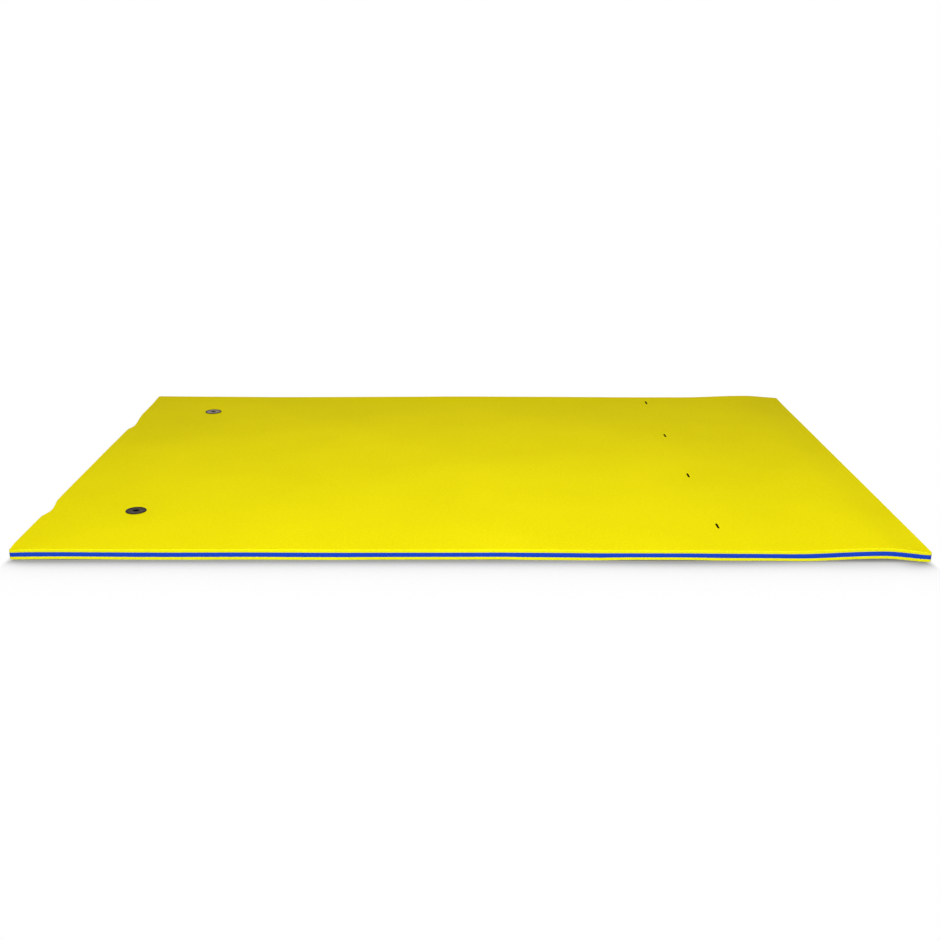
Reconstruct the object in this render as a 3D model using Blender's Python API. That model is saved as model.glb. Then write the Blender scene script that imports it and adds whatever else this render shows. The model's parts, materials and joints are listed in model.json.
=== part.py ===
"""Foam floating mat: three laminated foam sheets, two tether grommets, and an end that rolls up into a pillow.

Metres, +Z up. The origin is the middle of the mat's footprint, on its underside. +X runs along the mat
towards the pillow end, and -Y is the long edge that faces the viewer.
"""

import math

import bmesh
import bpy
from mathutils import Matrix, Vector

# The mat
MAT_LENGTH = 2.743
MAT_WIDTH = 1.829
OUTER_SHEET_THICKNESS = 0.0105
CORE_SHEET_THICKNESS = 0.0114
CORNER_RADIUS = 0.008
CORNER_STEPS = 6
BOND_GAP = 0.0003
CUT_OVERRUN = 0.004

# Two shallow dents in the left edge, where storage straps have pressed it
NEAR_DENT_FROM_FRONT = 0.352
NEAR_DENT_BACK_REACH = 0.115
FAR_DENT_FROM_BACK = 0.457
FAR_DENT_BACK_REACH = 0.180
DENT_FRONT_REACH = 0.068
DENT_DEPTH = 0.011
DENT_STEPS = 5

# The grommets, which stand on one line across the mat
GROMMET_FROM_LEFT = 0.290
NEAR_GROMMET_FROM_FRONT = 0.340
FAR_GROMMET_FROM_BACK = 0.248
GROMMET_STEPS = 48
BORE_DIAMETER = 0.0152
FLANGE_DIAMETER = 0.067
FLANGE_THICKNESS = 0.0013
FLANGE_SINK = 0.0005
BEAD_WIDTH = 0.0052
BEAD_RISE = 0.0010
BEAD_STEPS = 8
BORE_LIP_RADIUS = 0.0008
BARREL_WALL = 0.0029
WASHER_THICKNESS = 0.0021
WASHER_RIM_RADIUS = 0.0014
WASHER_RIM_STEPS = 4
COLLAR_WALL = 0.0022
COLLAR_HEIGHT = 0.0058
SNAP_CLEARANCE = 0.0003
SEAT_GAP = 0.0003
UNDERSIDE_RECESS = 0.0003

# The slits for the pillow's webbing, which stand on one line across the mat
SLIT_FROM_RIGHT = 0.593
FIRST_SLIT_FROM_FRONT = 0.203
LAST_SLIT_FROM_BACK = 0.0915
SLIT_COUNT = 4
SLIT_LENGTH = 0.042
SLIT_WIDTH = 0.006
SLIT_END_STEPS = 6

# The pillow end, which rolls up on itself
SLIT_TO_FIRST_FOLD = 0.093
PILLOW_STRIPS = 12
STRIPS_PER_TURN = 8
TURN_CLEARANCE = 0.004
STRIP_GAP = 0.0003

# Worked out from the sizes above
MAT_THICKNESS = 2 * OUTER_SHEET_THICKNESS + CORE_SHEET_THICKNESS + 2 * BOND_GAP
FLANGE_SEAT = MAT_THICKNESS - FLANGE_SINK
LEFT_END = -MAT_LENGTH / 2
RIGHT_END = MAT_LENGTH / 2
FRONT_EDGE = -MAT_WIDTH / 2
BACK_EDGE = MAT_WIDTH / 2
PILLOW_LENGTH = SLIT_FROM_RIGHT - SLIT_TO_FIRST_FOLD
PILLOW_START = RIGHT_END - PILLOW_LENGTH

BORE_RADIUS = BORE_DIAMETER / 2
FLANGE_RADIUS = FLANGE_DIAMETER / 2
BARREL_RADIUS = BORE_RADIUS + BARREL_WALL
COLLAR_BORE_RADIUS = BARREL_RADIUS + SNAP_CLEARANCE
COLLAR_RADIUS = COLLAR_BORE_RADIUS + COLLAR_WALL

# Each sheet's underside and top, counted from the floor
CORE_UNDERSIDE = OUTER_SHEET_THICKNESS + BOND_GAP
TOP_UNDERSIDE = CORE_UNDERSIDE + CORE_SHEET_THICKNESS + BOND_GAP
SHEETS = {
    "bottom": (0, OUTER_SHEET_THICKNESS),
    "core": (CORE_UNDERSIDE, CORE_UNDERSIDE + CORE_SHEET_THICKNESS),
    "top": (TOP_UNDERSIDE, MAT_THICKNESS),
}

# Colour, roughness and metallic value
FOAM_YELLOW = ((0.86, 0.76, 0.004), 0.72, 0)
FOAM_BLUE = ((0.013, 0.067, 0.597), 0.74, 0)
GREY_PLASTIC = ((0.045, 0.045, 0.05), 0.38, 0)


def clear_scene():
    for thing in list(bpy.data.objects):
        bpy.data.objects.remove(thing, do_unlink=True)


def make_material(name, finish):
    colour, roughness, metallic = finish
    material = bpy.data.materials.new(name)
    material.use_nodes = True
    shader = material.node_tree.nodes["Principled BSDF"]
    shader.inputs["Base Color"].default_value = (*colour, 1)
    shader.inputs["Roughness"].default_value = roughness
    shader.inputs["Metallic"].default_value = metallic
    return material


def add_object(name, mesh, material, place=Vector((0, 0, 0))):
    """A named object with its origin at place."""
    thing = bpy.data.objects.new(name, mesh)
    thing.location = place
    if material:
        mesh.materials.append(material)
    bpy.context.scene.collection.objects.link(thing)
    return thing


def mesh_from(name, build):
    """A mesh that build(bm) fills, with its faces pointing out."""
    bm = bmesh.new()
    build(bm)
    bmesh.ops.recalc_face_normals(bm, faces=bm.faces)
    mesh = bpy.data.meshes.new(name)
    bm.to_mesh(mesh)
    bm.free()
    return mesh


def arc(centre, radius, start, sweep, steps):
    """Points on an arc in the XY plane, ends included, with angles in radians."""
    points = []
    for step in range(steps + 1):
        angle = start + sweep * step / steps
        points.append((centre[0] + radius * math.cos(angle), centre[1] + radius * math.sin(angle)))
    return points


def extrude_outline(bm, outline, low, high):
    """A closed prism over an outline in the XY plane, from low to high."""
    face = bm.faces.new([bm.verts.new((x, y, low)) for x, y in outline])
    grown = bmesh.ops.extrude_face_region(bm, geom=[face])
    top = [part for part in grown["geom"] if isinstance(part, bmesh.types.BMVert)]
    bmesh.ops.translate(bm, verts=top, vec=(0, 0, high - low))


def dent(deepest, back_reach):
    """A dent in the left edge, from back to front, as a smooth dip round its deepest point."""
    points = []
    for step in range(-DENT_STEPS, DENT_STEPS + 1):
        share = step / DENT_STEPS
        reach = back_reach if step < 0 else DENT_FRONT_REACH
        depth = DENT_DEPTH * (1 + math.cos(math.pi * share)) / 2
        points.append((LEFT_END + depth, deepest - reach * share))
    return points


def corner(x, y, inwards_x, inwards_y, start):
    """A round corner of the mat, a quarter turn from the angle start."""
    centre = (x + inwards_x * CORNER_RADIUS, y + inwards_y * CORNER_RADIUS)
    return arc(centre, CORNER_RADIUS, start, math.pi / 2, CORNER_STEPS)


def left_end_outline():
    """The left end, from the back corner round to the front one."""
    outline = corner(LEFT_END, BACK_EDGE, 1, -1, math.pi / 2)
    outline += dent(BACK_EDGE - FAR_DENT_FROM_BACK, FAR_DENT_BACK_REACH)
    outline += dent(FRONT_EDGE + NEAR_DENT_FROM_FRONT, NEAR_DENT_BACK_REACH)
    outline += corner(LEFT_END, FRONT_EDGE, 1, 1, math.pi)
    return outline


def right_end_outline():
    """The right end, from the front corner round to the back one."""
    front = corner(RIGHT_END, FRONT_EDGE, -1, 1, -math.pi / 2)
    back = corner(RIGHT_END, BACK_EDGE, -1, -1, 0)
    return front + back


def cut_from_back(x):
    """A straight cut across the mat, seen from the piece to its right."""
    return [(x, BACK_EDGE), (x, FRONT_EDGE)]


def cut_from_front(x):
    """A straight cut across the mat, seen from the piece to its left."""
    return [(x, FRONT_EDGE), (x, BACK_EDGE)]


def turned_mesh(name, profile):
    """A closed ring turned about Z from a closed profile of (radius, height) points."""

    def build(bm):
        points = [bm.verts.new((radius, 0, height)) for radius, height in profile]
        edges = [bm.edges.new((a, b)) for a, b in zip(points, points[1:] + points[:1])]
        bmesh.ops.spin(
            bm,
            geom=points + edges,
            axis=(0, 0, 1),
            cent=(0, 0, 0),
            angle=2 * math.pi,
            steps=GROMMET_STEPS,
            use_merge=True,
        )

    mesh = mesh_from(name, build)
    mesh.shade_smooth()
    mesh.set_sharp_from_angle(angle=math.radians(30))
    return mesh


def cut(thing, cutter):
    """Subtracts a cutter, which stays in the scene as a guide."""
    modifier = thing.modifiers.new("cut_" + cutter.name, "BOOLEAN")
    modifier.operation = "DIFFERENCE"
    modifier.solver = "EXACT"
    modifier.object = cutter
    cutter.hide_render = True
    cutter.display_type = "WIRE"


def strip_lengths():
    """The lengths of the pillow's strips, which shrink so that each turn fits inside the one before."""
    turn_pitch = MAT_THICKNESS + TURN_CLEARANCE
    side_per_apothem = 2 * math.tan(math.pi / STRIPS_PER_TURN)
    shrink = turn_pitch * side_per_apothem / STRIPS_PER_TURN
    mean = PILLOW_LENGTH / PILLOW_STRIPS
    middle = (PILLOW_STRIPS - 1) / 2
    return [mean + shrink * (middle - number) for number in range(PILLOW_STRIPS)]


def grommet_places():
    x = LEFT_END + GROMMET_FROM_LEFT
    return {
        "near": Vector((x, FRONT_EDGE + NEAR_GROMMET_FROM_FRONT, 0)),
        "far": Vector((x, BACK_EDGE - FAR_GROMMET_FROM_BACK, 0)),
    }


def slit_cutter():
    """One prism with round ends for each slit, through the whole mat."""
    x = RIGHT_END - SLIT_FROM_RIGHT
    reach = (SLIT_LENGTH - SLIT_WIDTH) / 2
    spacing = (MAT_WIDTH - FIRST_SLIT_FROM_FRONT - LAST_SLIT_FROM_BACK) / (SLIT_COUNT - 1)

    def build(bm):
        for number in range(SLIT_COUNT):
            y = FRONT_EDGE + FIRST_SLIT_FROM_FRONT + number * spacing
            back_end = arc((x, y + reach), SLIT_WIDTH / 2, 0, math.pi, SLIT_END_STEPS)
            front_end = arc((x, y - reach), SLIT_WIDTH / 2, math.pi, math.pi, SLIT_END_STEPS)
            extrude_outline(bm, back_end + front_end, -CUT_OVERRUN, MAT_THICKNESS + CUT_OVERRUN)

    return add_object("slit_cutter", mesh_from("slit_cutter", build), None)


def grommet_cutter(name, place):
    """The hole for a grommet: the barrel's and the collar's, with a seat for each flange."""
    pocket_radius = FLANGE_RADIUS + SEAT_GAP
    pocket_top = UNDERSIDE_RECESS + WASHER_THICKNESS + SEAT_GAP
    collar_hole_radius = COLLAR_RADIUS + SEAT_GAP
    collar_top = UNDERSIDE_RECESS + WASHER_THICKNESS + COLLAR_HEIGHT + SEAT_GAP
    barrel_hole_radius = BARREL_RADIUS + SEAT_GAP
    steps = (
        (pocket_radius, -CUT_OVERRUN, pocket_top),
        (collar_hole_radius, pocket_top, collar_top),
        (barrel_hole_radius, collar_top, FLANGE_SEAT),
        (FLANGE_RADIUS + SEAT_GAP, FLANGE_SEAT, MAT_THICKNESS + CUT_OVERRUN),
    )

    def build(bm):
        profile = [(0, -CUT_OVERRUN)]
        for radius, low, high in steps:
            profile += [(radius, low), (radius, high)]
        profile.append((0, MAT_THICKNESS + CUT_OVERRUN))
        points = [bm.verts.new((radius, 0, height)) for radius, height in profile]
        edges = [bm.edges.new(pair) for pair in zip(points, points[1:])]
        bmesh.ops.spin(
            bm,
            geom=points + edges,
            axis=(0, 0, 1),
            cent=(0, 0, 0),
            angle=2 * math.pi,
            steps=GROMMET_STEPS,
            use_merge=True,
        )
        bmesh.ops.remove_doubles(bm, verts=bm.verts, dist=BOND_GAP / 3)

    return add_object(name, mesh_from(name, build), None, place)


def main_sheets(materials, slits, holes):
    """The three sheets of the part that stays flat."""
    outline = left_end_outline() + cut_from_front(PILLOW_START - STRIP_GAP / 2)
    for layer, (low, high) in SHEETS.items():
        name = f"main_{layer}_sheet"
        mesh = mesh_from(name, lambda bm: extrude_outline(bm, outline, low, high))
        sheet = add_object(name, mesh, materials[layer])
        cut(sheet, slits)
        for hole in holes:
            cut(sheet, hole)


def pillow_sheets(materials):
    """The pillow end's strips. Each hangs its three sheets on an empty on its fold, at the mat's top."""
    carrier = None
    carrier_place = Vector((0, 0, 0))
    fold_place = Vector((PILLOW_START, 0, MAT_THICKNESS))
    for number, length in enumerate(strip_lengths(), start=1):
        fold = bpy.data.objects.new(f"pillow_fold_{number:02}", None)
        bpy.context.scene.collection.objects.link(fold)
        fold.parent = carrier
        fold.location = fold_place - carrier_place
        outline = cut_from_back(fold_place.x + STRIP_GAP / 2)
        if number == PILLOW_STRIPS:
            outline += right_end_outline()
        else:
            outline += cut_from_front(fold_place.x + length - STRIP_GAP / 2)
        for layer, (low, high) in SHEETS.items():
            name = f"pillow_{number:02}_{layer}_sheet"
            mesh = mesh_from(name, lambda bm: extrude_outline(bm, outline, low, high))
            mesh.transform(Matrix.Translation(-fold_place))
            sheet = add_object(name, mesh, materials[layer])
            sheet.parent = fold
        carrier = fold
        carrier_place = fold_place
        fold_place = fold_place + Vector((length, 0, 0))


def bead(inner, outer, foot, rise):
    """A round bead on a flange, from its inner foot over its crown to its outer foot."""
    centre = (inner + outer) / 2
    half_width = (outer - inner) / 2
    points = []
    for step in range(BEAD_STEPS + 1):
        angle = math.pi * (1 - step / BEAD_STEPS)
        points.append((centre + half_width * math.cos(angle), foot + rise * math.sin(angle)))
    return points


def lower_rim(outer, face):
    """The round edge of the lower flange, from its flat face to its widest point."""
    points = []
    for step in range(WASHER_RIM_STEPS + 1):
        angle = math.pi / 2 * step / WASHER_RIM_STEPS
        radius = outer - WASHER_RIM_RADIUS * (1 - math.sin(angle))
        points.append((radius, face + WASHER_RIM_RADIUS * (1 - math.cos(angle))))
    return points


def eyelet_mesh():
    """The upper half: a flat flange with a beaded edge, over a barrel that reaches the underside."""
    seat = FLANGE_SEAT + SEAT_GAP
    face = seat + FLANGE_THICKNESS
    profile = [
        (BORE_RADIUS, UNDERSIDE_RECESS),
        (BORE_RADIUS, face - BORE_LIP_RADIUS),
        (BORE_RADIUS + BORE_LIP_RADIUS, face),
    ]
    profile += bead(FLANGE_RADIUS - BEAD_WIDTH, FLANGE_RADIUS, face, BEAD_RISE)
    profile += [
        (FLANGE_RADIUS, seat),
        (BARREL_RADIUS, seat),
        (BARREL_RADIUS, UNDERSIDE_RECESS),
    ]
    return turned_mesh("grommet_eyelet", profile)


def washer_mesh():
    """The lower half: a flange in its pocket under the mat, and a collar that grips the barrel."""
    seat = UNDERSIDE_RECESS + WASHER_THICKNESS
    collar_top = seat + COLLAR_HEIGHT
    profile = [(COLLAR_BORE_RADIUS, UNDERSIDE_RECESS)]
    profile += lower_rim(FLANGE_RADIUS, UNDERSIDE_RECESS)
    profile += [
        (FLANGE_RADIUS, seat),
        (COLLAR_RADIUS, seat),
        (COLLAR_RADIUS, collar_top),
        (COLLAR_BORE_RADIUS, collar_top),
    ]
    return turned_mesh("grommet_washer", profile)


def grommets(material, places):
    eyelet = eyelet_mesh()
    washer = washer_mesh()
    eyelet.materials.append(material)
    washer.materials.append(material)
    for side, place in places.items():
        add_object(f"{side}_grommet_eyelet", eyelet, None, place)
        add_object(f"{side}_grommet_washer", washer, None, place)


def main():
    clear_scene()
    yellow = make_material("foam_yellow", FOAM_YELLOW)
    blue = make_material("foam_blue", FOAM_BLUE)
    grey = make_material("grey_plastic", GREY_PLASTIC)
    sheet_materials = {"bottom": yellow, "core": blue, "top": yellow}
    places = grommet_places()
    slits = slit_cutter()
    holes = [grommet_cutter(f"{side}_grommet_cutter", place) for side, place in places.items()]
    main_sheets(sheet_materials, slits, holes)
    pillow_sheets(sheet_materials)
    grommets(grey, places)


main()
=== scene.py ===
"""Looks of the foam floating mat: laminated sheets, grommets and the studio that shows them.

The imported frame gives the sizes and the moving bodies. Each foam sheet is drawn as one slab, laid
on the floor with the slight waves that foam keeps, and parted across the pillow end where it bends.
"""

import json
import math

import bmesh
import bpy
from bpy.props import FloatProperty, FloatVectorProperty, IntProperty, PointerProperty
from mathutils import Matrix, Vector
from mathutils.geometry import delaunay_2d_cdt


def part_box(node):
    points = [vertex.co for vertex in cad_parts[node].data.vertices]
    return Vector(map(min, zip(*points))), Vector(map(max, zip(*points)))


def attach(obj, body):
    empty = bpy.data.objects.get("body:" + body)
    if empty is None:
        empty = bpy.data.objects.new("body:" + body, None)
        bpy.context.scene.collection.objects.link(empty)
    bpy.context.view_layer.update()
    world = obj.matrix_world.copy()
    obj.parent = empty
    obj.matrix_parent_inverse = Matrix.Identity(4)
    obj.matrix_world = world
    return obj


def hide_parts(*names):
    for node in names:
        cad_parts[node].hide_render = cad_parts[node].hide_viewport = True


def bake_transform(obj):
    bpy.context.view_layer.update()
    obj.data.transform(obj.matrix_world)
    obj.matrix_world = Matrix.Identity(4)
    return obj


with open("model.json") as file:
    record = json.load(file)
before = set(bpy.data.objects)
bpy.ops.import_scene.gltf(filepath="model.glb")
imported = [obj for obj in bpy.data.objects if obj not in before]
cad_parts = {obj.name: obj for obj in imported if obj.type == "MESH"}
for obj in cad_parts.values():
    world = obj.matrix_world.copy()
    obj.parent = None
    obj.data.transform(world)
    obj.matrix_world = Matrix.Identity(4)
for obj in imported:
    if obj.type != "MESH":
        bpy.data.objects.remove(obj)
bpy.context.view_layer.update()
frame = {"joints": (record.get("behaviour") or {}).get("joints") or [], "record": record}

bl_info = {
    "name": "Foam floating mat",
    "version": (1, 0, 0),
    "blender": (4, 5, 0),
    "location": "3D View > Sidebar > Foam mat",
    "description": "Dresses the foam mat's frame: foam sheets, grommets and studio",
    "category": "Object",
}

# The frame's own sizes, which every piece follows
MAT_LOW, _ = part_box("main_bottom_sheet")
_, MAT_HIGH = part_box("pillow_12_top_sheet")
LEFT, RIGHT = MAT_LOW.x, MAT_HIGH.x
FRONT, BACK = MAT_LOW.y, MAT_HIGH.y
THICKNESS = MAT_HIGH.z
LAYERS = {
    layer: [corner.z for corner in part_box(f"pillow_12_{layer}_sheet")]
    for layer in ("bottom", "core", "top")
}

FOLDS = [Vector(joint["pos_m"]).x for joint in frame["joints"]]
GROMMETS = {}
SLITS = []
for opening in frame["record"]["physics"]["openings"]:
    box_low, box_high = opening["box_m"]
    middle = (Vector(box_low) + Vector(box_high)) / 2
    if opening["name"].endswith("grommet_bore"):
        GROMMETS[opening["name"].split("_")[0]] = Vector((middle.x, middle.y, 0))
    else:
        SLITS.append(Vector((middle.x, middle.y, 0)))

# Radii of a grommet's bore, of the hole that it fills in the foam and of its flange's seat
BORE_RADIUS = 0.0076
HOLE_RADIUS = 0.0112
SEAT_RADIUS = 0.0339
# Rings of points round each grommet: the flange's seat, then the soft dish that it pulls
DISH_RINGS = (0.016, 0.0245, 0.0334, SEAT_RADIUS, 0.0344, 0.039, 0.047, 0.058, 0.072)
RING_STEPS = 48
MM = 0.001
# The circle that a grommet's profile is swept along
PATH_RADIUS = 0.02

# Steps between the slabs' points: on the flat part, across the folds, from front to back and along
# the left edge. The first columns lie closer together
COLUMN_STEP, FOLD_STEP, ROW_STEP, DENT_STEP = 0.024, 0.006, 0.020, 0.010
FIRST_COLUMNS = (0.006, 0.014, 0.026, 0.042, 0.060)
# How far inner points keep from a free edge, and the loop of points that keeps its rounding local
MARGIN = 0.0055
SUPPORT = 0.0026
# The thin line of bond that shows between two sheets
BOND = 0.0001
# The share of a hole's radius within which a triangle's middle lies in the hole. It leaves a few
# hair-thin triangles along the round holes' edges, out of sight under the flanges
OPEN_SHARE = 0.99

# The left edge's two dents: deepest point, reach to the front and reach to the back
DENTS = {
    "near": (FRONT + 0.352, 0.068, 0.115),
    "far": (BACK - 0.457, 0.068, 0.180),
}

# Shares of the front edge's lift and bow and of the back edge's lift, each after the share of the
# way from the mat's left end to its right
CURVES = {
    "front_lift_curve": (
        (0, 0), (0.34, 0), (0.42, 0.4), (0.53, 0.4), (0.57, 0), (0.63, 0),
        (0.69, 1), (0.75, 0.8), (0.78, 0.4), (0.83, 0.6), (0.88, 0), (1, 0),
    ),
    "front_bow_curve": (
        (0, 0), (0.58, 0), (0.7, 0.32), (0.78, 0.38), (0.85, 0.6), (0.91, 0.7), (1, 0.88)
    ),
    "back_lift_curve": (
        (0, 0.72), (0.1, 0.42), (0.2, 0.28), (0.3, 0.46), (0.42, 0.85),
        (0.55, 1), (0.69, 0.78), (0.82, 0.5), (0.93, 0.55), (1, 0.3),
    ),
}

# What lays a slab on the floor: the axis along which a point moves, which way, the amount by name,
# and the shares that it is multiplied by, which lie_tree works out from the point's place
LIE_RULES = (
    # The wave near the pillow end
    ("Z", "ADD", "wave_front", ("wave_rise", "wave_fall", "to_front")),
    ("Z", "ADD", "wave_back", ("wave_rise", "wave_fall", "to_back")),
    # The front edge's underside, which the top hardly follows
    ("Z", "ADD", "front_lift", ("front_lift_curve", "by_front", "depth")),
    ("Z", "ADD", "arch", ("arch_rise", "arch_fall", "by_front", "depth")),
    # The back edge, which doesn't lie quite flat, and the ripples. The grommets keep the foam flat
    ("Z", "ADD", "back_lift", ("back_lift_curve", "by_back", "off_grommets")),
    ("Z", "ADD", "ripple", ("ripples", "off_grommets")),
    # The dish that each grommet pulls in the top, and the pocket that it sits in underneath
    ("Z", "ADD", "pocket", ("in_seat", "underneath")),
    ("Z", "SUBTRACT", "dish", ("near_seat", "level")),
    # The strap marks in the left edge, where the top is pressed down
    ("Z", "SUBTRACT", "strap_press", ("near_dent", "level")),
    # The front corners, where the top sheet is pressed thin and the right one runs out a little
    ("Z", "SUBTRACT", "corner_press", ("at_ends", "at_front", "level", "level", "level")),
    ("X", "ADD", "corner_reach", ("at_right", "at_front")),
    # The front edge wasn't cut quite straight: its right end comes forward
    ("Y", "SUBTRACT", "front_bow", ("front_bow_curve", "near_front")),
)
# The amounts that no property holds
DEPTHS = {"pocket": 0.0027, "dish": 0.0007, "strap_press": 0.0025}
RIPPLE_SIZE = 0.5


def linear(code):
    """The linear colour of an sRGB hex code."""
    parts = [int(code[place : place + 2], 16) / 255 for place in (1, 3, 5)]
    return [part / 12.92 if part <= 0.04045 else ((part + 0.055) / 1.055) ** 2.4 for part in parts]


class FOAMMAT_PG_sizes(bpy.types.PropertyGroup):
    """Sizes of the foam sheets and grommets."""

    cut_round: FloatProperty(
        name="Cut edge", description="Round of the mat's outer edges, where the foam was cut",
        default=0.0012, unit="LENGTH",
    )
    foot_round: FloatProperty(
        name="Foot edge", description="Round of the mat's lower outer edge, sharp on the floor",
        default=0.0005, unit="LENGTH",
    )
    bond_round: FloatProperty(
        name="Bond edge", description="Round of each sheet's edge beside a bond",
        default=0.0004, unit="LENGTH",
    )
    corner_radius: FloatProperty(
        name="Corner", description="Radius of the mat's corners", default=0.008, unit="LENGTH"
    )
    dent_depth: FloatProperty(
        name="Dent", description="Depth of the dents that straps have pressed in the left edge",
        default=0.011, unit="LENGTH",
    )
    core_growth: FloatProperty(
        name="Core growth", description="How much thicker the core shows than its node",
        default=0.0028, unit="LENGTH",
    )
    slit_width: FloatProperty(
        name="Slit width", description="Width of each webbing slit", default=0.0055, unit="LENGTH"
    )
    slit_length: FloatProperty(
        name="Slit length", description="Length of each webbing slit", default=0.042, unit="LENGTH"
    )
    wave_front: FloatProperty(
        name="Wave, front", description="Height of the wave near the pillow end, at the front edge",
        default=0.0103, unit="LENGTH",
    )
    wave_back: FloatProperty(
        name="Wave, back", description="Height of the wave near the pillow end, at the back edge",
        default=0.0075, unit="LENGTH",
    )
    wave_from_end: FloatProperty(
        name="Wave from end", description="Distance from the wave's crest to the right end",
        default=0.139, unit="LENGTH",
    )
    wave_reach: FloatProperty(
        name="Wave reach", description="How far the wave runs to the left of its crest",
        default=0.285, unit="LENGTH",
    )
    front_lift: FloatProperty(
        name="Front lift", description="How far the front edge stands off the floor, at most",
        default=0.0028, unit="LENGTH",
    )
    front_bow: FloatProperty(
        name="Front bow", description="How far the front edge's right end comes forward",
        default=0.0178, unit="LENGTH",
    )
    arch: FloatProperty(
        name="Front arch", description="How far it stands off the floor near the left corner",
        default=0.0010, unit="LENGTH",
    )
    corner_press: FloatProperty(
        name="Corner press", description="How far the top sinks at the front corners",
        default=0.004, unit="LENGTH",
    )
    corner_reach: FloatProperty(
        name="Corner reach", description="How far the front right corner runs out to the right",
        default=0.0034, unit="LENGTH",
    )
    back_lift: FloatProperty(
        name="Back lift", description="How far the back edge stands off the floor, at most",
        default=0.005, unit="LENGTH",
    )
    ripple: FloatProperty(
        name="Ripple", description="Height of the broad ripples that rolling leaves in the foam",
        default=0.0011, unit="LENGTH",
    )
    segments: IntProperty(
        name="Grommet segments", description="Segments round each grommet", default=112, min=24
    )


class FOAMMAT_PG_finish(bpy.types.PropertyGroup):
    """Colours of the foam and the plastic."""

    yellow: FloatVectorProperty(
        name="Yellow foam", description="Skin of the outer sheets", default=linear("#F4EB06"),
        subtype="COLOR",
    )
    # Cut edges: partly the cut foam's own paler colour, partly painted light that brightens the
    # front-lit edge
    yellow_cut_and_painted_light: FloatVectorProperty(
        name="Yellow foam, cut", description="Cut edge of the outer sheets",
        default=linear("#FCFA16"), subtype="COLOR",
    )
    blue: FloatVectorProperty(
        name="Blue foam", description="Cut edge of the core sheet", default=linear("#1E4BCC"),
        subtype="COLOR",
    )
    # Painted shade: a near-black colour on the holes' walls, for the dark inside of the narrow
    # slits
    painted_hole_shade: FloatVectorProperty(
        name="Sealed wall", description="Walls of the punched slits, melted dark",
        default=linear("#060404"), subtype="COLOR",
    )
    plastic: FloatVectorProperty(
        name="Plastic", description="Moulded grommets", default=linear("#0C0D18"), subtype="COLOR"
    )
    # Painted light: the nearer grommet's dished face is paler than its bead where it faces the
    # light
    near_painted_light_face: FloatVectorProperty(
        name="Near grommet, worn", description="The nearer grommet's rubbed face",
        default=linear("#2A271B"), subtype="COLOR",
    )
    # Painted reflection: the further grommet's face, seen at a grazing angle, is painted much paler
    far_painted_light_face: FloatVectorProperty(
        name="Far grommet, worn", description="The further grommet's face, which is rubbed paler",
        default=linear("#86837C"), subtype="COLOR",
    )


class FOAMMAT_PG_stage(bpy.types.PropertyGroup):
    """The studio's camera, lamps and paper."""

    lens: FloatProperty(
        name="Lens", description="Focal length on a 36 mm sensor", default=45.32, unit="CAMERA"
    )
    key: FloatProperty(
        name="Key lamp", description="Power of the lamp in front", default=143.0, unit="POWER"
    )
    rear: FloatProperty(
        name="Rear lamp", description="Power of the bank behind", default=920.0, unit="POWER"
    )
    overhead: FloatProperty(
        name="Overhead lamp", description="Power of the lamp overhead", default=84.0, unit="POWER"
    )
    fill: FloatProperty(
        name="Low fill", description="Power of the low lamp behind", default=230.0, unit="POWER"
    )
    ambient: FloatProperty(
        name="Ambient", description="Strength of the light from all round", default=0.05
    )
    paper: FloatVectorProperty(
        name="Paper", description="Floor", default=linear("#909193"), subtype="COLOR"
    )


def add_node(tree, kind, inputs=None, **settings):
    """Adds a node. Each input is named or numbered, with a value to set or a socket to link."""
    node = tree.nodes.new(kind)
    for name, value in settings.items():
        setattr(node, name, value)
    for key, value in (inputs or {}).items():
        if isinstance(value, bpy.types.NodeSocket):
            tree.links.new(value, node.inputs[key])
        else:
            node.inputs[key].default_value = value
    return node


def new_material(name):
    """An empty node material, and its node tree."""
    material = bpy.data.materials.new(name)
    material.use_nodes = True
    material.node_tree.nodes.clear()
    return material, material.node_tree


def end_material(tree, colour, shade, roughness, relief, ior, specular):
    """Ends a dull material: shaded colour, uneven roughness, relief and a weak sheen."""
    noise, smoothest, roughest = roughness
    height, strength, distance = relief
    shaded = add_node(tree, "ShaderNodeHueSaturation", {"Color": colour, "Value": shade})
    rough = add_node(
        tree, "ShaderNodeMapRange", {"Value": noise, "To Min": smoothest, "To Max": roughest}
    )
    bump = add_node(
        tree, "ShaderNodeBump", {"Height": height, "Strength": strength, "Distance": distance}
    )
    shader = add_node(
        tree,
        "ShaderNodeBsdfPrincipled",
        {
            "Base Color": shaded.outputs[0],
            "Roughness": rough.outputs[0],
            "Normal": bump.outputs[0],
            "IOR": ior,
            "Specular IOR Level": specular,
        },
    )
    add_node(tree, "ShaderNodeOutputMaterial", {"Surface": shader.outputs[0]})


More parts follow.
